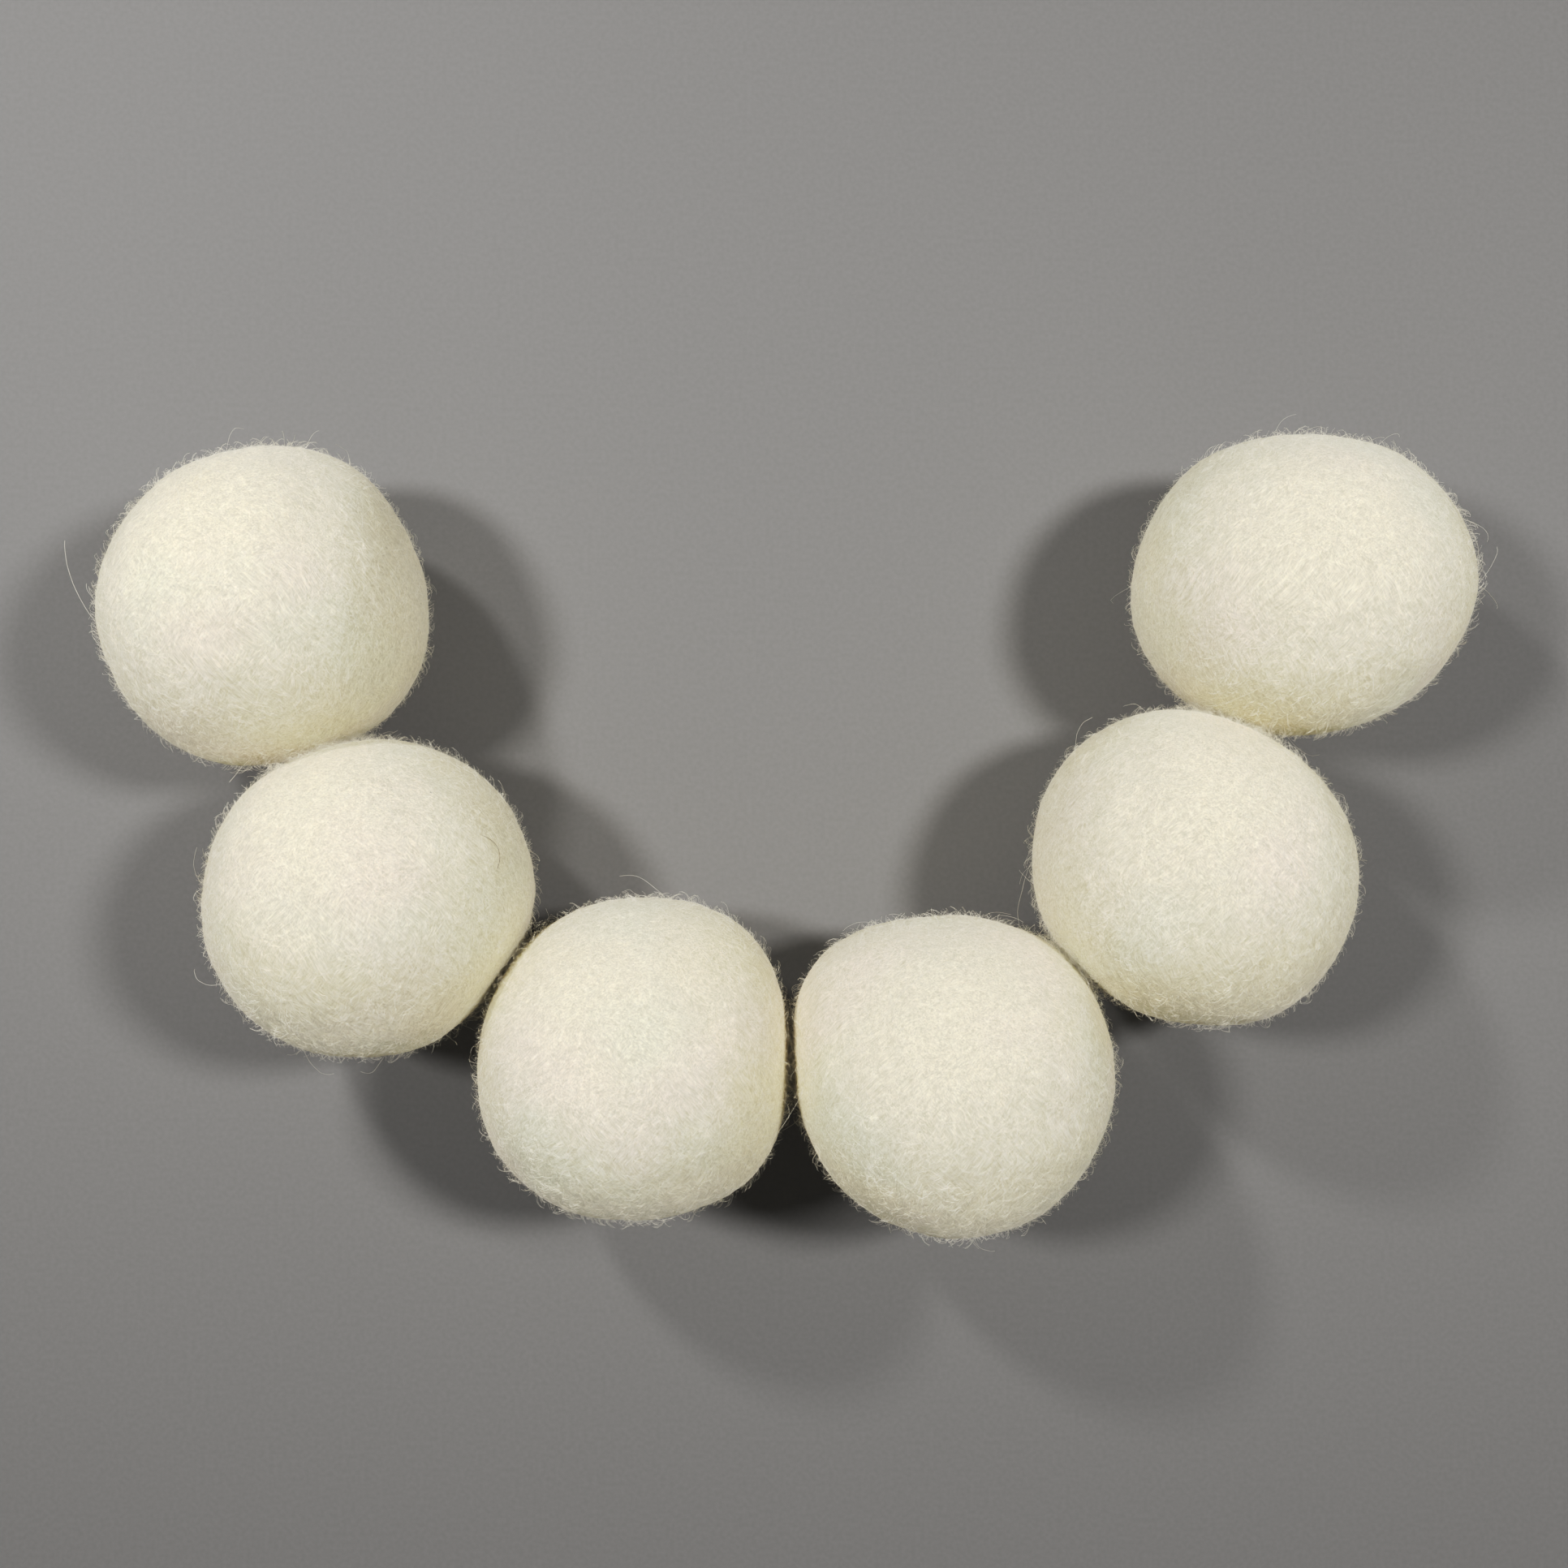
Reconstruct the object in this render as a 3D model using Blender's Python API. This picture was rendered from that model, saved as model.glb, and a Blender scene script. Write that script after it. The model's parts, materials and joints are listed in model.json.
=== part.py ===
"""Six felted wool dryer balls, lying on a table in a U, each ball against the next.

Every ball is felted in layers over a rolled core: two wraps of carded wool laid
crosswise, and a wet-felted coat. The balls are loose. Each has its own empty at its
centre, on the vertical line along which it lifts off the table.

Metres, +Z up. The origin is on the table, under the middle of the set's bounding box.
+X runs along the width of the U and +Y towards its open side.
"""

import math

import bmesh
import bpy
from mathutils import Vector
from mathutils.bvhtree import BVHTree

# Driving sizes, in metres.
BALL_RADIUS = 0.035  # mean radius that every ball is felted to
COAT_WALL = 0.008  # the wet-felted coat
OUTER_WRAP_WALL = 0.007  # the second wrap of carded wool
INNER_WRAP_WALL = 0.007  # the first wrap, laid over the core
LAYER_GAP = 0.0003  # between one layer and the next
REST_FLAT = 0.0011  # how deep a ball is flattened where it stands
TOUCH_GAP = 0.0003  # between neighbours that touch
SLIT_GAP = 0.0008  # between the two balls at the foot of the U

# Half-angles of the eyes that a winding leaves at its poles, in degrees.
COAT_EYE = 3.0
WRAP_EYE = 12.0

# Facets along each side of the cube that a ball is rounded from.
SKIN_GRID = 8
LAYER_GRID = 4

# Directions of the eyes: the coat's one on the lower part of a side, and the wraps' at the
# poles of windings that run at right angles to each other.
COAT_EYES = [Vector((0, 1, -math.tan(math.radians(22.5))))]
OUTER_WRAP_EYES = [Vector((1, 0, 0)), Vector((-1, 0, 0))]
INNER_WRAP_EYES = [Vector((0, 1, 0)), Vector((0, -1, 0))]

# The balls, from the left end of the U to the right one. "larger" is what a ball's mean
# radius has over BALL_RADIUS. A lump is (bearing, elevation, rise, spread): its direction
# in degrees, its rise over the mean radius in metres, negative for a flat, and the angle
# at which it has faded, in degrees. "to_next" is the bearing of the next ball.
BALLS = [
    {
        "name": "ball_1",
        "larger": -0.0002,
        "lumps": [
            (20, 5, -0.0022, 24),
            (143, 0, -0.0022, 26),
            (62, 0, 0.0016, 24),
            (235, 0, 0.0018, 34),
            (290, 0, -0.0016, 26),
            (180, 55, 0.0010, 30),
        ],
        "to_next": -70.1,
        "gap": TOUCH_GAP,
    },
    {
        "name": "ball_2",
        "larger": 0.0004,
        "lumps": [
            (228, 0, 0.0012, 30),
            (325, 0, -0.0022, 28),
            (60, 10, -0.0006, 24),
            (110, 0, -0.0014, 24),
            (285, 40, -0.0008, 26),
            (160, 60, 0.0006, 30),
        ],
        "to_next": -31.8,
        "gap": TOUCH_GAP,
    },
    {
        "name": "ball_3",
        "larger": -0.0002,
        "lumps": [
            (0, 0, -0.0008, 24),
            (50, 0, 0.0026, 28),
            (318, 0, 0.0026, 24),
            (165, 0, -0.0012, 30),
            (226, 0, 0.0016, 24),
            (90, 75, -0.0012, 34),
        ],
        "to_next": -2.4,
        "gap": SLIT_GAP,
    },
    {
        "name": "ball_4",
        "larger": 0.0002,
        "lumps": [
            (143, 0, 0.0036, 24),
            (90, 5, -0.0014, 24),
            (182, 0, -0.0008, 22),
            (42, 0, 0.0006, 24),
            (300, 0, 0.0008, 30),
            (20, 55, 0.0006, 34),
        ],
        "to_next": 39.9,
        "gap": TOUCH_GAP,
    },
    {
        "name": "ball_5",
        "larger": -0.0002,
        "lumps": [
            (125, 0, 0.0022, 34),
            (55, 0, -0.0024, 30),
            (225, 0, -0.0016, 24),
            (300, 0, 0.0020, 22),
            (265, 0, -0.0014, 22),
            (150, 60, 0.0008, 30),
        ],
        "to_next": 68.9,
        "gap": TOUCH_GAP,
    },
    {
        "name": "ball_6",
        "larger": 0.0000,
        "lumps": [
            (85, 0, -0.0022, 34),
            (290, 0, -0.0024, 40),
            (190, 0, 0.0014, 40),
            (130, 0, 0.0012, 24),
            (5, 0, 0.0014, 30),
            (245, 0, -0.0020, 26),
        ],
        "to_next": None,
        "gap": None,
    },
]

DOWN = Vector((0, 0, -1))
START_APART = 1.5  # how far apart neighbours start, in sums of their radii
NEAR_ENOUGH = 1e-6  # of a gap, when a ball is moved up to its neighbour
EDGE_STEPS = 5  # points along each edge from which a gap is measured
INSET = 0.02  # of the radius: the first width of the ring of facets round an eye


def clear_scene():
    for obj in list(bpy.data.objects):
        bpy.data.objects.remove(obj)


def felt_material(name, colour, roughness):
    material = bpy.data.materials.new(name)
    material.use_nodes = True
    shader = material.node_tree.nodes["Principled BSDF"]
    shader.inputs["Base Color"].default_value = (*colour, 1)
    shader.inputs["Roughness"].default_value = roughness
    shader.inputs["Metallic"].default_value = 0.0
    return material


def aimed(bearing, elevation=0.0):
    """The direction at a bearing from +X and an elevation above the table, in degrees."""
    turn, rise = math.radians(bearing), math.radians(elevation)
    level = math.cos(rise)
    return Vector((math.cos(turn) * level, math.sin(turn) * level, math.sin(rise)))


def radius_towards(ball, direction, depth=0.0):
    """Distance from a ball's centre to the surface that lies depth under its skin."""
    mean = BALL_RADIUS + ball["larger"]
    share = 1.0
    for bearing, elevation, rise, spread in ball["lumps"]:
        away = direction.angle(aimed(bearing, elevation)) / math.radians(spread)
        share += rise / mean * math.exp(-away * away)
    return (mean - depth) * share


def surface(ball, depth, grid, eyes, eye_angle):
    """One surface of a ball, rounded from a cube, with its eyes cut open."""
    bm = bmesh.new()
    bmesh.ops.create_cube(bm, size=2.0)
    bmesh.ops.subdivide_edges(bm, edges=bm.edges, cuts=grid - 1, use_grid_fill=True)
    for vert in bm.verts:
        # The tangent spaces the facets at equal angles over the ball.
        vert.co = Vector([math.tan(x * math.pi / 4) for x in vert.co]).normalized()
    # Cut into triangles while still round, so that the facets of all surfaces run alike.
    bmesh.ops.triangulate(bm, faces=bm.faces)
    for vert in bm.verts:
        vert.co *= radius_towards(ball, vert.co, depth)
    for eye in eyes:
        pole = min(bm.verts, key=lambda v: v.co.angle(eye))
        open_eye(bm, pole, eye_angle)
    return bm


def open_eye(bm, pole, eye_angle):
    """Cuts a round eye in the facets about a pole."""
    faces = list(pole.link_faces)
    bmesh.ops.inset_region(bm, faces=faces, thickness=pole.co.length * INSET)
    rim = {vert for face in faces for vert in face.verts} - {pole}
    eye_radius = pole.co.length * math.radians(eye_angle)
    for vert in rim:
        outer = next(e.other_vert(vert) for e in vert.link_edges if is_spoke(e, rim, pole))
        vert.co = pole.co + (outer.co - pole.co).normalized() * eye_radius
    bmesh.ops.delete(bm, geom=faces, context="FACES")


def is_spoke(edge, rim, pole):
    """Whether an edge runs outwards from the rim of an eye."""
    return pole not in edge.verts and not rim.issuperset(edge.verts)


def shell(ball, depth, wall, outer_grid, eyes, eye_angle):
    """A layer from depth under the skin to depth + wall under it, as a bmesh."""
    bm = surface(ball, depth, outer_grid, eyes, eye_angle)
    lining = surface(ball, depth + wall, LAYER_GRID, eyes, eye_angle)
    mesh = bpy.data.meshes.new("lining")
    lining.to_mesh(mesh)
    bm.from_mesh(mesh)
    bpy.data.meshes.remove(mesh)
    rims = [edge for edge in bm.edges if edge.is_boundary]
    for eye in eyes:
        round_eye = [edge for edge in rims if edge.verts[0].co.dot(eye) > 0]
        bmesh.ops.bridge_loops(bm, edges=round_eye)
    bmesh.ops.recalc_face_normals(bm, faces=bm.faces)
    return bm


def centre_height(ball):
    """How high a ball's centre stands over the table."""
    return radius_towards(ball, DOWN) - REST_FLAT


def flatten_foot(bm, ball):
    """Cuts a coat off level with the table, and closes it with one flat facet."""
    table = DOWN * centre_height(ball)
    geom = list(bm.verts) + list(bm.edges) + list(bm.faces)
    cut = bmesh.ops.bisect_plane(
        bm, geom=geom, plane_co=table, plane_no=DOWN, clear_outer=True
    )
    rim = [e for e in cut["geom_cut"] if isinstance(e, bmesh.types.BMEdge)]
    bmesh.ops.edgeloop_fill(bm, edges=rim)
    bmesh.ops.recalc_face_normals(bm, faces=bm.faces)


def coat_mesh(ball):
    bm = shell(ball, 0.0, COAT_WALL, SKIN_GRID, COAT_EYES, COAT_EYE)
    flatten_foot(bm, ball)
    return bm


def outer_wrap_mesh(ball):
    depth = COAT_WALL + LAYER_GAP
    return shell(ball, depth, OUTER_WRAP_WALL, LAYER_GRID, OUTER_WRAP_EYES, WRAP_EYE)


def inner_wrap_mesh(ball):
    depth = COAT_WALL + OUTER_WRAP_WALL + 2 * LAYER_GAP
    return shell(ball, depth, INNER_WRAP_WALL, LAYER_GRID, INNER_WRAP_EYES, WRAP_EYE)


def core_mesh(ball):
    depth = COAT_WALL + OUTER_WRAP_WALL + INNER_WRAP_WALL + 3 * LAYER_GAP
    return surface(ball, depth, LAYER_GRID, eyes=[], eye_angle=0)


LAYERS = [
    ("core", core_mesh, felt_material, (0.62, 0.58, 0.49), 0.95),
    ("inner_wrap", inner_wrap_mesh, felt_material, (0.70, 0.66, 0.56), 0.95),
    ("outer_wrap", outer_wrap_mesh, felt_material, (0.74, 0.70, 0.60), 0.95),
    ("felt_coat", coat_mesh, felt_material, (0.80, 0.77, 0.67), 0.92),
]


def points_on(bm):
    """The corners of a mesh, and points along its edges."""
    shares = [i / EDGE_STEPS for i in range(EDGE_STEPS)]
    ends = [[vert.co for vert in edge.verts] for edge in bm.edges]
    return [start.lerp(end, share) for start, end in ends for share in shares]


def smallest_gap(first, second, offset):
    """Least distance between two meshes, the second moved by offset."""
    first_tree, second_tree = BVHTree.FromBMesh(first), BVHTree.FromBMesh(second)
    there = min(second_tree.find_nearest(p - offset)[3] for p in points_on(first))
    back = min(first_tree.find_nearest(p + offset)[3] for p in points_on(second))
    return min(there, back)


def place_balls(coats):
    """Centres of the balls, each moved up to the one before it along its bearing."""
    centres = [Vector((0, 0, centre_height(BALLS[0])))]
    for i, ball in enumerate(BALLS[:-1]):
        following = BALLS[i + 1]
        along = aimed(ball["to_next"])
        step = Vector((0, 0, centre_height(following) - centre_height(ball)))
        apart = START_APART * (2 * BALL_RADIUS + ball["larger"] + following["larger"])
        spare = apart
        while abs(spare) > NEAR_ENOUGH:
            gap = smallest_gap(coats[i], coats[i + 1], along * apart + step)
            spare = gap - ball["gap"]
            apart -= spare
        centres.append(centres[-1] + along * apart + step)
    return centres


def middle_of(coats, centres):
    """The middle of the set's bounding box, on the table."""
    points = [v.co + c for bm, c in zip(coats, centres, strict=True) for v in bm.verts]
    sides = [[p[axis] for p in points] for axis in (0, 1)]
    return Vector([(min(side) + max(side)) / 2 for side in sides] + [0])


def build_object(name, bm, material, parent):
    mesh = bpy.data.meshes.new(name)
    bm.to_mesh(mesh)
    mesh.shade_smooth()
    mesh.set_sharp_from_angle(angle=math.radians(50))
    mesh.materials.append(material)
    obj = bpy.data.objects.new(name, mesh)
    obj.parent = parent
    bpy.context.scene.collection.objects.link(obj)


def build_ball(ball, centre, layers, materials):
    """An empty at the ball's centre, and the ball's layers, each its own object."""
    empty = bpy.data.objects.new(ball["name"], None)
    empty.location = centre
    bpy.context.scene.collection.objects.link(empty)
    for layer, bm in layers.items():
        build_object(f"{ball['name']}_{layer}", bm, materials[layer], empty)


def main():
    clear_scene()
    materials = {
        layer: make_material(layer, colour, roughness)
        for layer, _, make_material, colour, roughness in LAYERS
    }
    built = [{layer: make(ball) for layer, make, *_ in LAYERS} for ball in BALLS]
    coats = [layers["felt_coat"] for layers in built]
    centres = place_balls(coats)
    middle = middle_of(coats, centres)
    for ball, centre, layers in zip(BALLS, centres, built, strict=True):
        build_ball(ball, centre - middle, layers, materials)


main()
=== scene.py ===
import json
import math

import bmesh
import bpy
import numpy as np
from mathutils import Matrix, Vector
from mathutils.bvhtree import BVHTree

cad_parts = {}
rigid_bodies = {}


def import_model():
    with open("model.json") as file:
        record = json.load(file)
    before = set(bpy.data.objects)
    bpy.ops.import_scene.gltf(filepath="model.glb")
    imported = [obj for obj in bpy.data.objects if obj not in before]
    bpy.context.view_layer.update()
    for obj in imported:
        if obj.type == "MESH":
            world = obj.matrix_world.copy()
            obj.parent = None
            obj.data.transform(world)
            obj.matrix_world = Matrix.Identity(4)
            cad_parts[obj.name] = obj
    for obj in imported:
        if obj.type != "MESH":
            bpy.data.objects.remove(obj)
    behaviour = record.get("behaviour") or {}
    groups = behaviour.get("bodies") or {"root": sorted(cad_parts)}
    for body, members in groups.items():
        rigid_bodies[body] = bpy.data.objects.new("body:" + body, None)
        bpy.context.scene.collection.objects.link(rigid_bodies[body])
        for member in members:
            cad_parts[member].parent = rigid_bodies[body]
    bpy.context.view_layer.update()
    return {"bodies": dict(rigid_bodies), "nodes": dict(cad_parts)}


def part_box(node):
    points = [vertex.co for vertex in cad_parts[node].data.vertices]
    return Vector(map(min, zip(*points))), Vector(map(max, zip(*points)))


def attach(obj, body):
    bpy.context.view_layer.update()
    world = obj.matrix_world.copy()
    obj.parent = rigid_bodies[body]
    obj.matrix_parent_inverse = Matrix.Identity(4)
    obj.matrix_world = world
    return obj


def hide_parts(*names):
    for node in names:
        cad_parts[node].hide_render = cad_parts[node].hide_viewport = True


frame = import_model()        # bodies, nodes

balls = sorted(frame["bodies"])  # ball_1 to ball_6, along the U
reach = 0.06  # metres from a ball's centre to a point well outside it
print("frame loaded:", len(balls), "balls")


# short helpers for node trees

def put(tree, kind, *values, **settings):
    # adds a node; values fill its inputs in order: a socket is linked, None is skipped
    node = tree.nodes.new(kind)
    for name, value in settings.items():
        setattr(node, name, value)
    for socket, value in zip(node.inputs, values):
        feed(tree, socket, value)
    return node


def feed(tree, socket, value):
    if value is None:
        return
    if isinstance(value, bpy.types.NodeSocket):
        tree.links.new(value, socket)
    else:
        socket.default_value = value


def feedAll(tree, node, values):
    # values by the names of the node's inputs
    for name, value in values.items():
        feed(tree, node.inputs[name], value)
    return node


def sums(tree, how, a, b=None, c=None):
    return put(tree, "ShaderNodeMath", a, b, c, operation=how).outputs[0]


def vecs(tree, how, a, b):
    return put(tree, "ShaderNodeVectorMath", a, b, operation=how).outputs[0]


def scaled(tree, vector, factor):
    node = put(tree, "ShaderNodeVectorMath", vector, operation="SCALE")
    feed(tree, node.inputs["Scale"], factor)
    return node.outputs[0]


def noiseOf(tree, vector, scale, detail=2.0, rough=0.5, w=None):
    node = put(tree, "ShaderNodeTexNoise", noise_dimensions="3D" if w is None else "4D")
    if w is not None:
        feed(tree, node.inputs["W"], w)
    values = {"Vector": vector, "Scale": scale, "Detail": detail, "Roughness": rough}
    return feedAll(tree, node, values)


def channels(tree, texture):
    # the three parts of a texture's colour, each a pattern of its own
    return put(tree, "ShaderNodeSeparateColor", texture.outputs["Color"]).outputs


def centred(tree, noise):
    # a noise's three channels as a vector from -0.5 to 0.5
    return vecs(tree, "SUBTRACT", noise.outputs["Color"], (0.5, 0.5, 0.5))


def spread(tree, value, low, high, toLow=0.0, toHigh=1.0):
    # low to high becomes toLow to toHigh, and nothing goes beyond
    node = put(tree, "ShaderNodeMapRange", value, low, high, toLow, toHigh)
    node.clamp = True
    return node.outputs[0]


def mixed(tree, factor, a, b, how="MIX"):
    node = put(tree, "ShaderNodeMix", data_type="RGBA", blend_type=how)
    for k, value in ((0, factor), (6, a), (7, b)):  # the inputs that are for colours
        feed(tree, node.inputs[k], value)
    return node.outputs[2]


def newMaterial(name):
    material = bpy.data.materials.new(name)
    material.use_nodes = True
    tree = material.node_tree
    place = put(tree, "ShaderNodeTexCoord").outputs["Object"]
    return material, tree, tree.nodes["Principled BSDF"], place


def newTree(name, sizes):
    # a geometry tree with named inputs: name, kind of socket, value
    tree = bpy.data.node_groups.new(name, "GeometryNodeTree")
    face = tree.interface
    face.new_socket("Geometry", in_out="INPUT", socket_type="NodeSocketGeometry")
    for label, kind, value in sizes:
        socket = face.new_socket(label, in_out="INPUT", socket_type="NodeSocket" + kind)
        if value is not None:
            socket.default_value = value
    face.new_socket("Geometry", in_out="OUTPUT", socket_type="NodeSocketGeometry")
    return tree, tree.nodes.new("NodeGroupInput"), tree.nodes.new("NodeGroupOutput")


def endTree(tree, out, geometry, material):
    solid = put(tree, "GeometryNodeRealizeInstances", geometry)
    coated = put(tree, "GeometryNodeSetMaterial", solid.outputs[0])
    feed(tree, coated.inputs["Material"], material)
    feed(tree, out.inputs[0], coated.outputs[0])


def attributeOf(tree, name):
    node = put(tree, "GeometryNodeInputNamedAttribute", name, data_type="FLOAT")
    return node.outputs[0]


def grown(source, tree, name, **values):
    # runs a geometry tree on a mesh, and returns the result as a plain mesh
    holder = bpy.data.objects.new(name, source)
    bpy.context.scene.collection.objects.link(holder)
    modifier = holder.modifiers.new(name, "NODES")
    modifier.node_group = tree
    sockets = tree.interface.items_tree
    named = {s.name: s.identifier for s in sockets if s.in_out == "INPUT"}
    for label, value in values.items():
        modifier[named[label]] = value
    graph = bpy.context.evaluated_depsgraph_get()
    graph.update()
    made = bpy.data.meshes.new_from_object(
        holder.evaluated_get(graph), preserve_all_data_layers=True, depsgraph=graph
    )
    holder.modifiers.remove(modifier)
    bpy.data.objects.remove(holder)
    made.name = name
    return made


# felted wool: cream with soft tints, fine fibres and a few dark flecks of chaff
woolLook = {
    "cream": (0.880, 0.822, 0.640, 1),
    "tints": [  # laid over the cream in this order: colour, first trace, full strength
        ((0.848, 0.824, 0.650, 1), 0.48, 0.66),  # greenish
        ((0.900, 0.816, 0.665, 1), 0.50, 0.68),  # pinkish
        ((0.885, 0.808, 0.580, 1), 0.52, 0.80),  # yellowish
    ],
    "patchScale": 26.0,  # tint patches, about 40 mm
    "fibreScale": 3100.0,  # across the fibres that lie in the surface
    "fibreStretch": 0.10,  # how much wider they are than long
    "laneScale": 210.0,  # patches in which the fibres lie one way
    "wideScale": 0.45,  # broader fibres under them, as shares of the fine ones' values
    "wideStretch": 1.3,
    "wideLane": 0.6,
    "tuftScale": 620.0,
    "swirl": 0.0042,  # how far swirls bend the fibres
    "swirlScale": 75.0,
    "shades": {  # each pattern's low and high, and what they add to the brightness; the two darker patterns are painted shade in the hollows between the fibres
        "light": (0.48, 0.72, 0.84, 1.08),
        "dark": (0.28, 0.52, -0.04, 0.04),
        "wide": (0.44, 0.72, -0.07, 0.07),
        "shadedGaps": (0.28, 0.52, -0.025, 0.025),
        "tufts": (0.34, 0.66, -0.04, 0.04),
    },
    "paintedBounceWarmth": (1.06, 1.3),  # powers for green and blue: the darker, the warmer, a painted warm glow of light bounced between the fibres
    "relief": {"light": 0.55, "dark": 0.35, "wide": 0.8, "tufts": 0.9},
    "bump": 0.00024,
    "chaff": (0.10, 0.075, 0.05, 1),
    "fleckScale": 95.0,
    "fleckSize": (0.016, 0.030),  # its core and its edge
    "fleckless": 0.80,  # share of the cells that have none
    "fleckStrength": 0.7,
    "finish": {
        "Roughness": 0.95,
        "Specular IOR Level": 0.15,
        "Sheen Weight": 0.35,
        "Sheen Roughness": 0.55,
        "Sheen Tint": (1.0, 0.97, 0.88, 1),
        "Subsurface Weight": 0.12,
        "Subsurface Radius": (1.0, 0.8, 0.45),
        "Subsurface Scale": 0.003,
    },
}

fibreWays = [  # turns, in radians, that lay the fibres along the diagonals of a cube
    (0.0, -0.615, 0.785),
    (0.0, 0.615, 2.356),
    (0.0, 0.615, -0.785),
    (0.0, -0.615, -2.356),
]
wayShift = (1.7, 0.9, 2.3)  # from one way's pattern to the next one's


def fibreStreaks(tree, place, scale, stretch, lane):
    # combed noise in four ways, so that fibres show on every side of a ball; two of them
    # show in each lane, and what comes back is the lighter of the two and the darker
    ways = []
    for k, turn in enumerate(fibreWays):
        turned = put(tree, "ShaderNodeVectorRotate", place, rotation_type="EULER_XYZ")
        feed(tree, turned.inputs["Rotation"], turn)
        along = vecs(tree, "MULTIPLY", turned.outputs[0], (stretch, 1.0, 1.0))
        along = vecs(tree, "ADD", along, tuple(k * shift for shift in wayShift))
        ways.append(noiseOf(tree, along, scale, detail=3.0, rough=0.6).outputs[0])
    which = channels(tree, noiseOf(tree, place, lane, detail=1.0))
    tops = []
    for k in (0, 1):
        chosen = spread(tree, which[k], 0.42, 0.58)
        node = put(tree, "ShaderNodeMix", chosen, None, ways[k], ways[k + 2], data_type="FLOAT")
        tops.append(node.outputs[0])
    return sums(tree, "MAXIMUM", *tops), sums(tree, "MINIMUM", *tops)


def tintOf(tree, place, look):
    patches = channels(tree, noiseOf(tree, place, look["patchScale"]))
    tint = look["cream"]
    for patch, (colour, trace, full) in zip(patches, look["tints"]):
        tint = mixed(tree, spread(tree, patch, trace, full), tint, colour)
    return tint


def flecksOf(tree, place, look):
    cells = put(tree, "ShaderNodeTexVoronoi", place)
    feed(tree, cells.inputs["Scale"], look["fleckScale"])
    fleck = spread(tree, cells.outputs["Distance"], *look["fleckSize"], 1.0, 0.0)
    rare = sums(tree, "GREATER_THAN", channels(tree, cells)[0], look["fleckless"])
    fleck = sums(tree, "MULTIPLY", fleck, rare)
    return sums(tree, "MULTIPLY", fleck, look["fleckStrength"])


def woolMaterial(name, look, shift=0.0):
    material, tree, shader, place = newMaterial(name)
    place = vecs(tree, "ADD", place, (shift, shift * 0.7, shift * 1.3))

    # the fibres' patterns; the darker of each pair is painted shade in the hollows between the
    # fibres
    swirls = centred(tree, noiseOf(tree, place, look["swirlScale"], detail=1.0))
    bent = vecs(tree, "ADD", place, scaled(tree, swirls, look["swirl"]))
    scale, stretch, lane = look["fibreScale"], look["fibreStretch"], look["laneScale"]
    light, dark = fibreStreaks(tree, bent, scale, stretch, lane)
    broad = scale * look["wideScale"], stretch * look["wideStretch"], lane * look["wideLane"]
    wide, shadedGaps = fibreStreaks(tree, bent, *broad)
    tufts = noiseOf(tree, bent, look["tuftScale"], rough=0.6).outputs[0]
    patterns = {"light": light, "dark": dark, "wide": wide, "shadedGaps": shadedGaps, "tufts": tufts}

    # colour: tints, shaded by the fibres and by painted shade in their hollows, with flecks on
    # top
    shade = 0.0
    for part, limits in look["shades"].items():
        shade = sums(tree, "ADD", shade, spread(tree, patterns[part], *limits))
    # painted bounce light: the darker the shade, the warmer, as light bounced between wool fibres
    # is warm
    green, blue = (sums(tree, "POWER", shade, power) for power in look["paintedBounceWarmth"])
    shade = put(tree, "ShaderNodeCombineColor", shade, green, blue).outputs[0]
    colour = mixed(tree, 1.0, tintOf(tree, place, look), shade, "MULTIPLY")
    colour = mixed(tree, flecksOf(tree, place, look), colour, look["chaff"])

    # relief of the same fibres
    relief = 0.0
    for part, share in look["relief"].items():
        relief = sums(tree, "MULTIPLY_ADD", patterns[part], share, relief)
    bump = put(tree, "ShaderNodeBump")
    feedAll(tree, bump, {"Strength": 1.0, "Distance": look["bump"], "Height": relief})
    feedAll(tree, shader, {"Base Color": colour, "Normal": bump.outputs[0]})
    feedAll(tree, shader, look["finish"])
    return material


hairFinish = {
    "Specular IOR Level": 0.25,
    "Sheen Weight": 0.6,
    "Sheen Roughness": 0.6,
    "Sheen Tint": (1.0, 0.98, 0.90, 1),
}


def hairMaterial(name, colour):
    # single hairs: too thin to carry a pattern, so only their gloss varies
    material, tree, shader, place = newMaterial(name)
    gloss = noiseOf(tree, place, 400.0, detail=1.0).outputs[0]
    roughness = spread(tree, gloss, 0.35, 0.65, 0.55, 0.8)
    feedAll(tree, shader, {"Base Color": colour, "Roughness": roughness})
    feedAll(tree, shader, hairFinish)
    return material


# the skin of a ball, grown from its CAD coat
feltSkin = {
    "grid": 72,  # facets along each side of the cube that it is rounded from
    "eyeLimit": 0.85,  # of the middle radius: a shorter one looks in at the coat's eye
    "eyePasses": 6,  # to close the eye from its rim
    "smoothing": 34,  # passes that take the CAD facets out of its radii
    "swellHeight": 0.0007,
    "swellSize": 0.016,
    "dimpleHeight": 0.00012,
    "dimpleSize": 0.0052,
    "tuftHeight": 0.00013,
    "tuftSize": 0.0017,
    "floorGap": 0.0002,
    "touchGap": 0.00012,  # kept to the next ball's CAD surface
    "touchFade": 0.0060,
}


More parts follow.
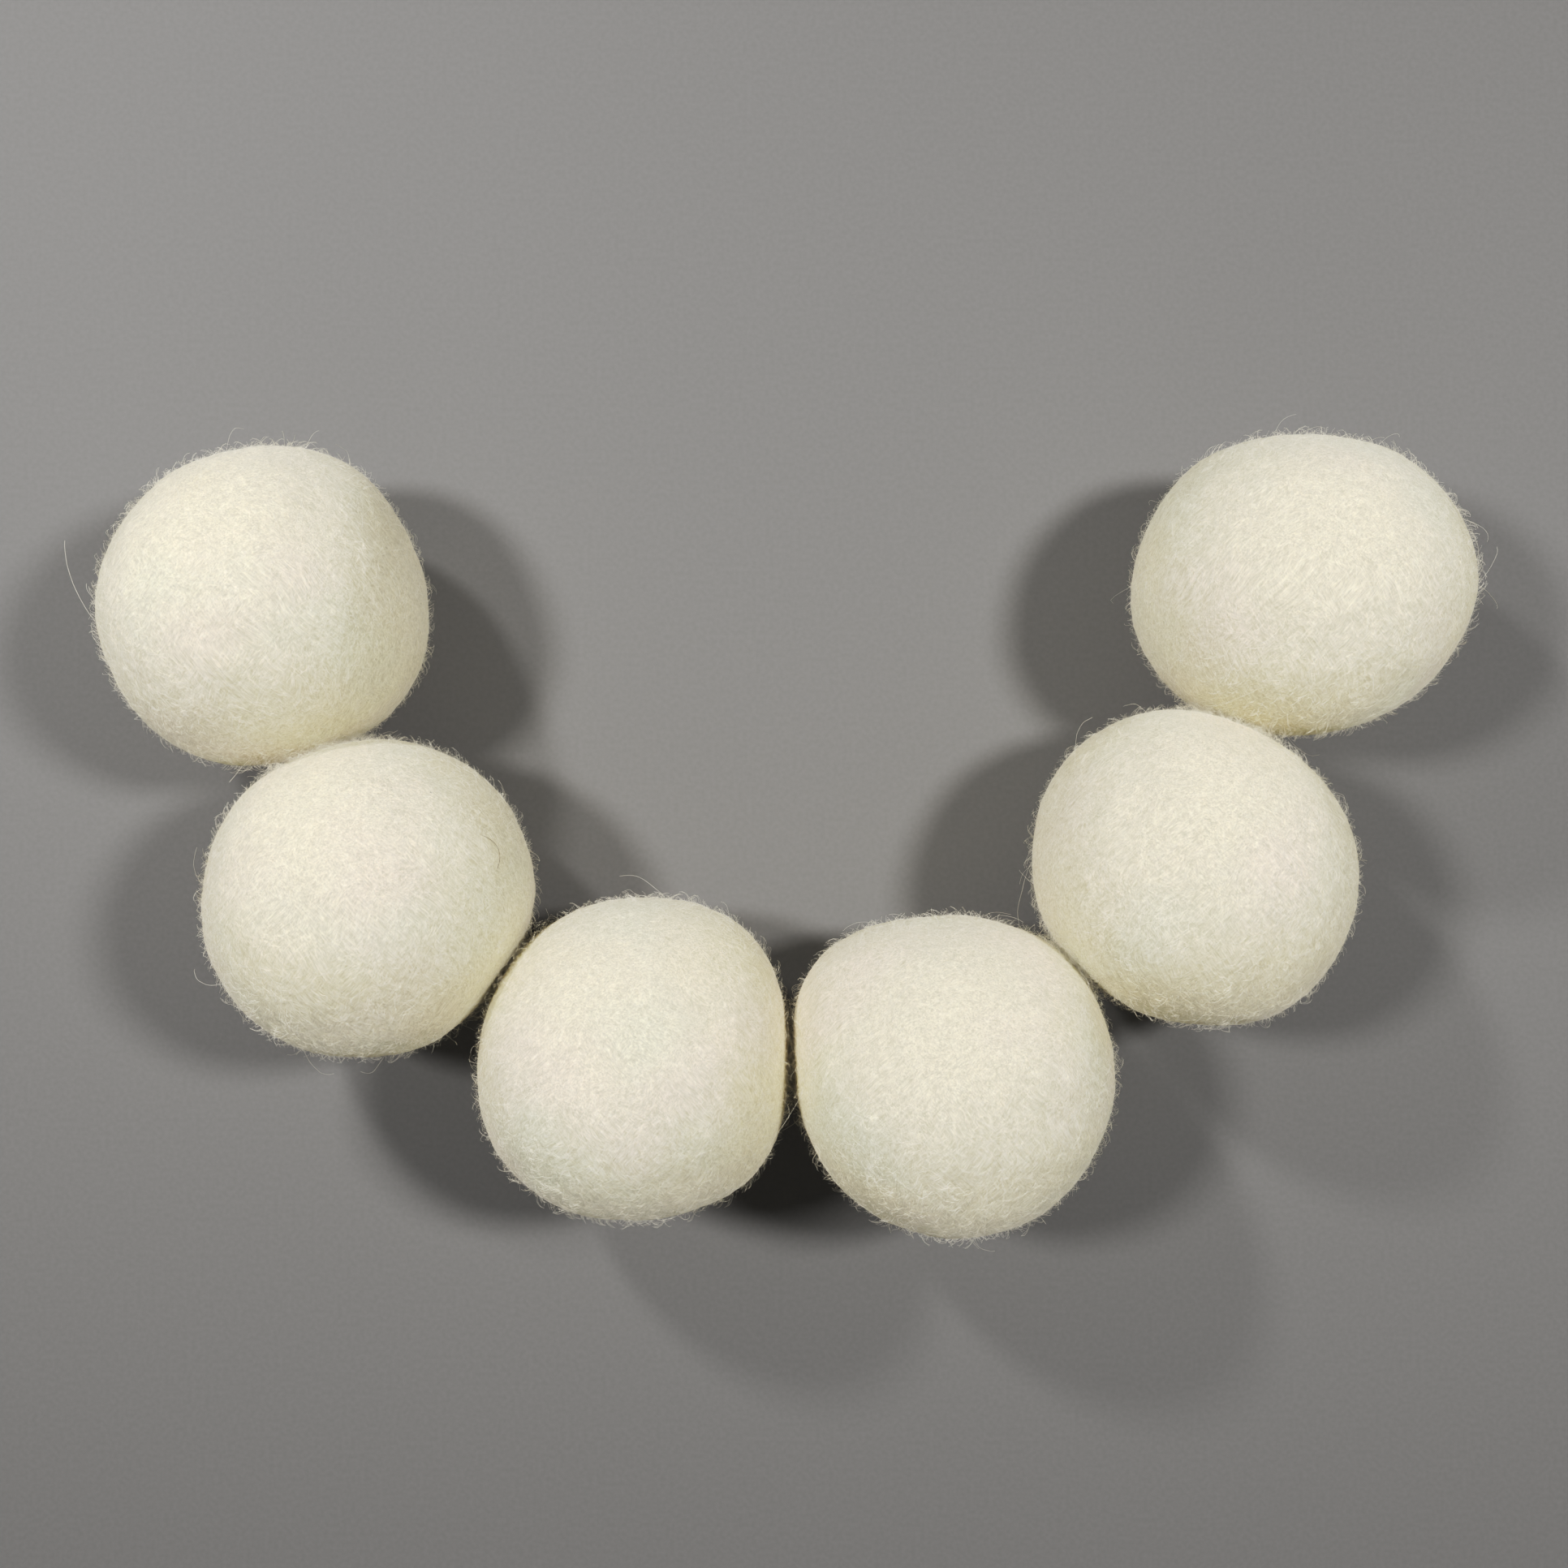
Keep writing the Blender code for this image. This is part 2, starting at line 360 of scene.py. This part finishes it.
def surfaceTree(look):
    waves = {"swell": 1.0, "dimple": 1.0, "tuft": 2.0}  # with their noises' detail
    labels = [wave + size for wave in waves for size in ("Height", "Size")]
    sizes = [(label, "Float", look[label]) for label in labels]
    sizes += [("seed", "Float", 0.0), ("wool", "Material", None)]
    tree, given, out = newTree("feltSurface", sizes)
    place = put(tree, "GeometryNodeInputPosition").outputs[0]
    normal = put(tree, "GeometryNodeInputNormal").outputs[0]
    rise = 0.0
    for name, detail in waves.items():
        scale = sums(tree, "DIVIDE", 1.0, given.outputs[name + "Size"])
        wave = noiseOf(tree, place, scale, detail, w=given.outputs["seed"]).outputs[0]
        wave = sums(tree, "MULTIPLY", sums(tree, "SUBTRACT", wave, 0.5), 2.0)
        wave = sums(tree, "MULTIPLY", wave, given.outputs[name + "Height"])
        rise = sums(tree, "ADD", rise, wave)
    # none where a neighbour leans on the felt
    rise = sums(tree, "MULTIPLY", rise, attributeOf(tree, "free"))
    moved = put(tree, "GeometryNodeSetPosition", given.outputs["Geometry"])
    feed(tree, moved.inputs["Offset"], scaled(tree, normal, rise))
    smooth = put(tree, "GeometryNodeSetShadeSmooth", moved.outputs[0])
    endTree(tree, out, smooth.outputs[0], given.outputs["wool"])
    return tree


def roundGrid(side):
    # a cube of small squares, rounded to a ball: directions, squares and edges
    bm = bmesh.new()
    bmesh.ops.create_cube(bm, size=2.0)
    bmesh.ops.subdivide_edges(bm, edges=bm.edges, cuts=side - 1, use_grid_fill=True)
    bmesh.ops.recalc_face_normals(bm, faces=bm.faces)
    bm.verts.index_update()
    corners = np.array([v.co for v in bm.verts])
    squares = [[v.index for v in f.verts] for f in bm.faces]
    edges = np.array([[v.index for v in e.verts] for e in bm.edges])
    bm.free()
    corners = np.tan(corners * math.pi / 4)  # so that the squares are nearly equal
    corners /= np.linalg.norm(corners, axis=1)[:, None]
    return corners, squares, edges


def aroundEach(values, edges):
    # for each point, the sum of its neighbours' values
    a, b = edges.T
    count = len(values)
    return np.bincount(a, values[b], count) + np.bincount(b, values[a], count)


def filledIn(values, edges, passes, known):
    # gives unknown values their known neighbours' mean, from the rim inwards
    known = known.astype(float)
    for _ in range(passes):
        near = aroundEach(values * known, edges)
        share = aroundEach(known, edges)
        mean = np.divide(near, share, out=values.copy(), where=share > 0)
        values = np.where(known > 0, values, mean)
        known = np.maximum(known, (share > 0).astype(float))
    return values


def eased(values, edges, passes):
    # draws each value towards its neighbours' mean
    share = aroundEach(np.ones(len(values)), edges)
    for _ in range(passes):
        values = (values + aroundEach(values, edges) / share) / 2
    return values


def searchTree(mesh):
    # for rays and nearest points
    facets = [p.vertices for p in mesh.polygons]
    return BVHTree.FromPolygons([v.co for v in mesh.vertices], facets)


def centreOf(ball):
    low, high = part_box(ball + "_core")
    return (low + high) / 2


def castSkin(ball, coats, shape, look):
    # the coat's radii, without its facets and its eye
    directions, squares, edges = shape
    centre = centreOf(ball)
    radii = np.zeros(len(directions))
    for i, direction in enumerate(directions):
        hit = coats[ball].ray_cast(centre + Vector(direction) * reach, Vector(-direction))
        radii[i] = reach - hit[3] if hit[0] is not None else 0.0
    known = radii > look["eyeLimit"] * np.median(radii)
    radii = filledIn(radii, edges, look["eyePasses"], known)
    radii = eased(radii, edges, look["smoothing"])
    points = np.array(centre) + directions * radii[:, None]
    mesh = bpy.data.meshes.new(ball + "_skin")
    mesh.from_pydata(points.tolist(), [], squares)
    return mesh


def roomAround(mesh, ball, coats, look):
    # from 0 where the next ball leans on this one to 1 where nothing is near
    i = balls.index(ball)
    others = [coats[b] for b in balls[max(i - 1, 0):i + 2] if b != ball]
    far = look["touchFade"]
    values = np.ones(len(mesh.vertices))
    for k, vert in enumerate(mesh.vertices):
        for other in others:
            hit = other.find_nearest(vert.co, far)
            if hit[0] is not None:
                values[k] = min(values[k], max(hit[3] - look["touchGap"], 0.0) / far)
    free = mesh.attributes.new("free", "FLOAT", "POINT")
    free.data.foreach_set("value", values.astype(np.float32))


def settle(mesh, look):
    # nothing of a ball goes below the floor
    points = np.zeros(len(mesh.vertices) * 3, np.float32)
    mesh.vertices.foreach_get("co", points)
    points = points.reshape(-1, 3)
    points[:, 2] = np.maximum(points[:, 2], look["floorGap"])
    mesh.vertices.foreach_set("co", points.ravel())
    mesh.update()


# loose hairs, lying on the felt and standing out of it: nap is close to it, halo is around it
woolHairs = {
    # paler than the felt: the loose fibres' own cream, lifted as painted light for the light that
    # shines through such thin fibres
    "colour": (0.91, 0.865, 0.74, 1),
    "pieces": {"nap": ("lying", "wisp", "bridge"), "halo": ("down", "frizz", "stray", "strand")},
    "ballRadius": 0.035,  # of the ball that the counts are for
    "crowds": {  # room from and to, and how many times the count at each
        "even": (0.0, 1.0, 1.0, 1.0),
        "rubbed": (0.0, 1.0, 4.5, 1.0),  # more where the next ball leans
        "bridging": (0.12, 0.45, 1.0, 0.0),  # only there, crossing over to the next ball
    },
    "combScale": 70.0,  # how quickly the direction of the hairs turns
    "untidy": 0.22,  # how far they differ from it
    "fewLong": 2.2,  # a higher power makes long hairs rarer
    "lengths": (0.55, 1.3),  # the shortest hair's, and what the longest has over it
    "heights": (0.3, 1.7),
    "curls": 0.55,  # along a hair
}

# each layer's sizes are in metres; with ends 0 both ends are in the felt, and with ends 1
# the far one stands up; points are along the hair
hairLayers = {
    "lying": {
        "count": 3900, "length": 0.0021, "rise": 0.00013, "sink": 0.00005, "curl": 0.0007,
        "thickness": 0.000026, "points": 3, "ends": 0.0, "crowd": "even",
    },
    "wisp": {
        "count": 1500, "length": 0.0015, "rise": 0.00145, "sink": 0.0001, "curl": 0.0010,
        "thickness": 0.000018, "points": 3, "ends": 0.8, "crowd": "rubbed",
    },
    "bridge": {
        "count": 7000, "length": 0.0034, "rise": 0.0022, "sink": 0.0002, "curl": 0.0026,
        "thickness": 0.000019, "points": 6, "ends": 0.8, "crowd": "bridging",
    },
    "down": {
        "count": 7700, "length": 0.0010, "rise": 0.00105, "sink": 0.0001, "curl": 0.0008,
        "thickness": 0.000017, "points": 3, "ends": 0.85, "crowd": "rubbed",
    },
    "frizz": {
        "count": 1600, "length": 0.0021, "rise": 0.0016, "sink": 0.0002, "curl": 0.0016,
        "thickness": 0.000021, "points": 6, "ends": 0.7, "crowd": "rubbed",
    },
    "stray": {
        "count": 50, "length": 0.0062, "rise": 0.0036, "sink": 0.0002, "curl": 0.0045,
        "thickness": 0.000024, "points": 12, "ends": 0.7, "crowd": "rubbed",
    },
    "strand": {
        "count": 3, "length": 0.0120, "rise": 0.0042, "sink": 0.0003, "curl": 0.0070,
        "thickness": 0.000032, "points": 18, "ends": 0.6, "crowd": "rubbed",
    },
}


def chance(tree, seed):
    # a random share from 0 to 1 for each hair
    node = put(tree, "FunctionNodeRandomValue", data_type="FLOAT")
    feed(tree, node.inputs[2], 0.0)
    feed(tree, node.inputs[3], 1.0)
    feed(tree, node.inputs["Seed"], seed)
    return node.outputs[1]


def hairRoots(tree, base, look, seed):
    # points on the felt, and how the hair on each is turned
    points = put(tree, "GeometryNodeDistributePointsOnFaces", distribute_method="RANDOM")
    crowd = spread(tree, attributeOf(tree, "free"), *woolHairs["crowds"][look["crowd"]])
    evenly = look["count"] / (4 * math.pi * woolHairs["ballRadius"] ** 2)
    density = sums(tree, "MULTIPLY", crowd, evenly)
    feedAll(tree, points, {"Mesh": base, "Density": density, "Seed": seed})
    place = put(tree, "GeometryNodeInputPosition").outputs[0]
    comb = centred(tree, noiseOf(tree, place, woolHairs["combScale"], detail=1.0))
    low, high = (-woolHairs["untidy"],) * 3, (woolHairs["untidy"],) * 3
    anyWay = put(tree, "FunctionNodeRandomValue", low, high, data_type="FLOAT_VECTOR")
    feed(tree, anyWay.inputs["Seed"], seed)
    align = "FunctionNodeAlignRotationToVector"
    stand = put(tree, align, axis="Z")
    feed(tree, stand.inputs["Vector"], points.outputs["Normal"])
    turned = put(tree, align, stand.outputs[0], axis="X", pivot_axis="Z")
    feed(tree, turned.inputs["Vector"], vecs(tree, "ADD", comb, anyWay.outputs[0]))
    return points.outputs["Points"], turned.outputs[0]


def hairLine(tree, look, along):
    # one hair: an arch on a chord of length 1, sunk at both ends, or with its far end up
    ends = look["ends"]
    line = put(tree, "GeometryNodeCurvePrimitiveLine", (-0.5, 0, 0), (0.5, 0, 0))
    line = put(tree, "GeometryNodeResampleCurve", line.outputs[0])
    feed(tree, line.inputs["Count"], look["points"])
    back = sums(tree, "SUBTRACT", sums(tree, "MULTIPLY", along, 2.0), 1.0)
    arch = sums(tree, "SUBTRACT", 1.0, sums(tree, "MULTIPLY", back, back))
    arch = sums(tree, "MULTIPLY", arch, 1 - ends)
    climb = sums(tree, "ADD", arch, sums(tree, "MULTIPLY", along, ends))
    lift = sums(tree, "SUBTRACT", sums(tree, "MULTIPLY", climb, look["rise"]), look["sink"])
    up = put(tree, "ShaderNodeCombineXYZ", 0.0, 0.0, lift).outputs[0]
    hair = put(tree, "GeometryNodeSetPosition", line.outputs[0])
    feed(tree, hair.inputs["Offset"], up)
    return hair.outputs[0]


def hairSize(tree, look, seed):
    # most are short and low, a few long and high
    luck = sums(tree, "POWER", chance(tree, seed), woolHairs["fewLong"])
    shortest, more = (look["length"] * share for share in woolHairs["lengths"])
    lowest, higher = woolHairs["heights"]
    wide = sums(tree, "MULTIPLY_ADD", luck, more, shortest)
    high = sums(tree, "MULTIPLY_ADD", luck, higher, lowest)
    return put(tree, "ShaderNodeCombineXYZ", wide, 1.0, high).outputs[0]


def hairLayer(tree, base, look, seed):
    # one layer of hairs on a surface
    along = put(tree, "GeometryNodeSplineParameter").outputs["Factor"]
    roots, turns = hairRoots(tree, base, look, seed)
    placed = put(tree, "GeometryNodeInstanceOnPoints", roots)
    hair, size = hairLine(tree, look, along), hairSize(tree, look, sums(tree, "ADD", seed, 11.0))
    feedAll(tree, placed, {"Instance": hair, "Rotation": turns, "Scale": size})
    kind = "GeometryNodeStoreNamedAttribute"
    marked = put(tree, kind, placed.outputs[0], data_type="FLOAT", domain="INSTANCE")
    feedAll(tree, marked, {"Name": "own", "Value": chance(tree, sums(tree, "ADD", seed, 23.0))})
    strands = put(tree, "GeometryNodeRealizeInstances", marked.outputs[0])

    # each hair curls in its own way, more towards a loose end
    place = put(tree, "GeometryNodeInputPosition").outputs[0]
    own = sums(tree, "MULTIPLY", attributeOf(tree, "own"), 400.0)
    wave = centred(tree, noiseOf(tree, place, woolHairs["curls"] / look["length"], w=own))
    amount = sums(tree, "MULTIPLY_ADD", along, look["ends"], 1 - look["ends"] * 0.7)
    amount = sums(tree, "MULTIPLY", amount, look["curl"])
    curled = put(tree, "GeometryNodeSetPosition", strands.outputs[0])
    feed(tree, curled.inputs["Offset"], scaled(tree, wave, amount))
    profile = put(tree, "GeometryNodeCurvePrimitiveCircle", 3)
    feed(tree, profile.inputs["Radius"], look["thickness"])
    tube = put(tree, "GeometryNodeCurveToMesh", curled.outputs[0], profile.outputs[0])
    feed(tree, tube.inputs["Fill Caps"], True)
    return tube.outputs[0]


def hairTree(name, layers):
    tree, given, out = newTree(name, [("seed", "Int", 0), ("hair", "Material", None)])
    joined = put(tree, "GeometryNodeJoinGeometry")
    for k, layer in enumerate(layers):
        seed = sums(tree, "ADD", given.outputs["seed"], 100.0 * k)
        hairs = hairLayer(tree, given.outputs["Geometry"], hairLayers[layer], seed)
        tree.links.new(hairs, joined.inputs[0])
    endTree(tree, out, joined.outputs[0], given.outputs["hair"])
    return tree


def shown(name, mesh, body):
    piece = bpy.data.objects.new(name, mesh)
    bpy.context.scene.collection.objects.link(piece)
    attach(piece, body)
    return piece


wool = woolMaterial("feltedWool", woolLook)
hair = hairMaterial("looseWoolHair", woolHairs["colour"])
coats = {ball: searchTree(frame["nodes"][ball + "_felt_coat"].data) for ball in balls}
shape = roundGrid(feltSkin["grid"])
surface = surfaceTree(feltSkin)
hairTrees = {part: hairTree(part + "Hairs", names) for part, names in woolHairs["pieces"].items()}
skins = {}

for number, ball in enumerate(balls):
    rough = castSkin(ball, coats, shape, feltSkin)
    roomAround(rough, ball, coats, feltSkin)
    skin = grown(rough, surface, ball + "_felt", seed=number * 5.3, wool=wool)
    settle(skin, feltSkin)
    skins[ball] = skin
    piece = shown(ball + "_felt", skin, ball)
    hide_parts(ball + "_felt_coat")
    for part, tree in hairTrees.items():
        hairs = grown(skin, tree, ball + "_" + part, seed=number * 7 + 1, hair=hair)
        settle(hairs, feltSkin)
        piece = shown(ball + "_" + part, hairs, ball)
        piece.visible_shadow = False  # hairs this thin let the light through
        hairs.calc_loop_triangles()
        print(ball, part, len(hairs.loop_triangles), "triangles")
    print(ball, "felted:", len(skin.polygons), "facets")


# one dark hair caught in the felt
darkHair = {
    "ball": "ball_2",
    "colour": (0.16, 0.10, 0.055, 1),
    "start": (0.77, 0.40, 0.49),  # directions from the ball's centre
    "bend": (0.90, 0.34, 0.34),
    "end": (0.86, 0.20, 0.46),
    "thickness": 0.00004,
    "lift": 3,  # off the felt, in thicknesses
    "points": 14,
    "sides": 5,
}


def caughtHair(look, skin, centre):
    # a fine tube that follows the felt from start to end by way of bend
    felt = searchTree(skin)
    start, bend, end = (Vector(look[key]) for key in ("start", "bend", "end"))
    thick, sides = look["thickness"], look["sides"]
    line = []
    for k in range(look["points"]):
        t = k / (look["points"] - 1)
        way = ((1 - t) ** 2 * start + 2 * t * (1 - t) * bend + t ** 2 * end).normalized()
        hit = felt.ray_cast(centre + way * reach, -way)
        line.append((hit[0] + hit[1] * thick * look["lift"], hit[1]))
    bm = bmesh.new()
    turns = [i * math.tau / sides for i in range(sides)]
    rings = []
    for k, (spot, out) in enumerate(line):
        ahead = line[min(k + 1, len(line) - 1)][0] - line[max(k - 1, 0)][0]
        side = ahead.normalized().cross(out).normalized()
        ring = [spot + (side * math.cos(a) + out * math.sin(a)) * thick for a in turns]
        rings.append([bm.verts.new(point) for point in ring])
    for a, b in zip(rings, rings[1:]):
        for i in range(sides):
            j = (i + 1) % sides
            bm.faces.new((a[i], a[j], b[j], b[i]))
    bm.faces.new(rings[0])
    bm.faces.new(rings[-1][::-1])
    bmesh.ops.recalc_face_normals(bm, faces=bm.faces)
    mesh = bpy.data.meshes.new("darkHair")
    bm.to_mesh(mesh)
    bm.free()
    return mesh


caught = caughtHair(darkHair, skins[darkHair["ball"]], centreOf(darkHair["ball"]))
caught.materials.append(hairMaterial("darkHair", darkHair["colour"]))
shown(darkHair["ball"] + "_dark_hair", caught, darkHair["ball"])
print("dark hair laid on", darkHair["ball"])


# the wool inside is the same, a little darker towards the core
innerWool = {"outer_wrap": 0.95, "inner_wrap": 0.90, "core": 0.84}


def darker(colour, share):
    return tuple(c * share for c in colour[:3]) + (1,)


for layer, share in innerWool.items():
    look = dict(woolLook)
    look["cream"] = darker(woolLook["cream"], share)
    look["tints"] = [(darker(colour, share), *limits) for colour, *limits in woolLook["tints"]]
    inside = woolMaterial(layer + "Wool", look, 0.1 * share)
    for ball in balls:
        frame["nodes"][ball + "_" + layer].data.materials[0] = inside
print("layers inside coloured")


# a matt grey table
tableTop = {
    "colour": (0.253, 0.248, 0.243, 1),
    "grainScale": 900.0,
    "grain": (0.97, 1.03),  # darkest and lightest, as shares of the colour
    "halfSide": 2.0,
    "finish": {"Roughness": 0.75, "Specular IOR Level": 0.2},
}


def tableMaterial(look):
    material, tree, shader, place = newMaterial("greyTable")
    grain = noiseOf(tree, place, look["grainScale"]).outputs[0]
    shade = spread(tree, grain, 0.3, 0.7, *look["grain"])
    grey = put(tree, "ShaderNodeCombineColor", shade, shade, shade).outputs[0]
    feed(tree, shader.inputs["Base Color"], mixed(tree, 1.0, look["colour"], grey, "MULTIPLY"))
    feedAll(tree, shader, look["finish"])
    return material


bm = bmesh.new()
bmesh.ops.create_grid(bm, x_segments=1, y_segments=1, size=tableTop["halfSide"])
tableMesh = bpy.data.meshes.new("table")
bm.to_mesh(tableMesh)
bm.free()
tableMesh.materials.append(tableMaterial(tableTop))
table = bpy.data.objects.new("table", tableMesh)
bpy.context.scene.collection.objects.link(table)

# round lamps, each aimed at the middle of the table: place, watts, width
lamps = {
    "leftLamp": ((-0.42, 0.12, 0.66), 2.4, 0.12),
    "rightLamp": ((0.42, 0.12, 0.66), 3.0, 0.12),
    "windowLamp": ((-0.33, 0.39, 0.47), 1.2, 0.07),
    "frontGlow": ((0.0, -0.75, 0.60), 0.3, 0.50),
}

for name, (place, watts, width) in lamps.items():
    lamp = bpy.data.lights.new(name, "AREA")
    lamp.shape = "DISK"
    lamp.size = width
    lamp.energy = watts
    holder = bpy.data.objects.new(name, lamp)
    holder.location = place
    holder.rotation_euler = Vector(place).to_track_quat("Z", "Y").to_euler()
    bpy.context.scene.collection.objects.link(holder)

# the room's own glow, from its walls
room = {"colour": (1.0, 0.99, 0.97, 1), "horizon": 0.45, "zenith": 0.01, "fadeTo": 0.55}

world = bpy.data.worlds.new("softRoom")
world.use_nodes = True
air = world.node_tree
skyward = put(air, "ShaderNodeTexCoord").outputs["Generated"]
height = put(air, "ShaderNodeSeparateXYZ", skyward).outputs["Z"]
glow = spread(air, height, 0.0, room["fadeTo"], room["horizon"], room["zenith"])
feedAll(air, air.nodes["Background"], {"Color": room["colour"], "Strength": glow})
bpy.context.scene.world = world

# a wide lens, looking straight down
view = {
    "place": (-0.00097, 0.01137, 0.354),
    "lens": 33.3,
    "sensor": 36.0,
    "nearest": 0.01,
    # deepens the shadows and softens the lights
    "tones": [(0.0, 0.0), (0.10, 0.067), (0.30, 0.318), (0.50, 0.545), (0.75, 0.73), (1.0, 0.92)],
}

camera = bpy.data.cameras.new("camera")
camera.lens = view["lens"]
camera.sensor_width = view["sensor"]
camera.clip_start = view["nearest"]
viewer = bpy.data.objects.new("camera", camera)
viewer.location = view["place"]
bpy.context.scene.collection.objects.link(viewer)
bpy.context.scene.camera = viewer

shownAs = bpy.context.scene.view_settings
shownAs.view_transform = "Standard"
shownAs.use_curve_mapping = True
tones = shownAs.curve_mapping.curves[3]
tones.points[0].location = view["tones"][0]
tones.points[1].location = view["tones"][-1]
for level, tone in view["tones"][1:-1]:
    tones.points.new(level, tone)
shownAs.curve_mapping.update()
print("table, lamps and camera set")
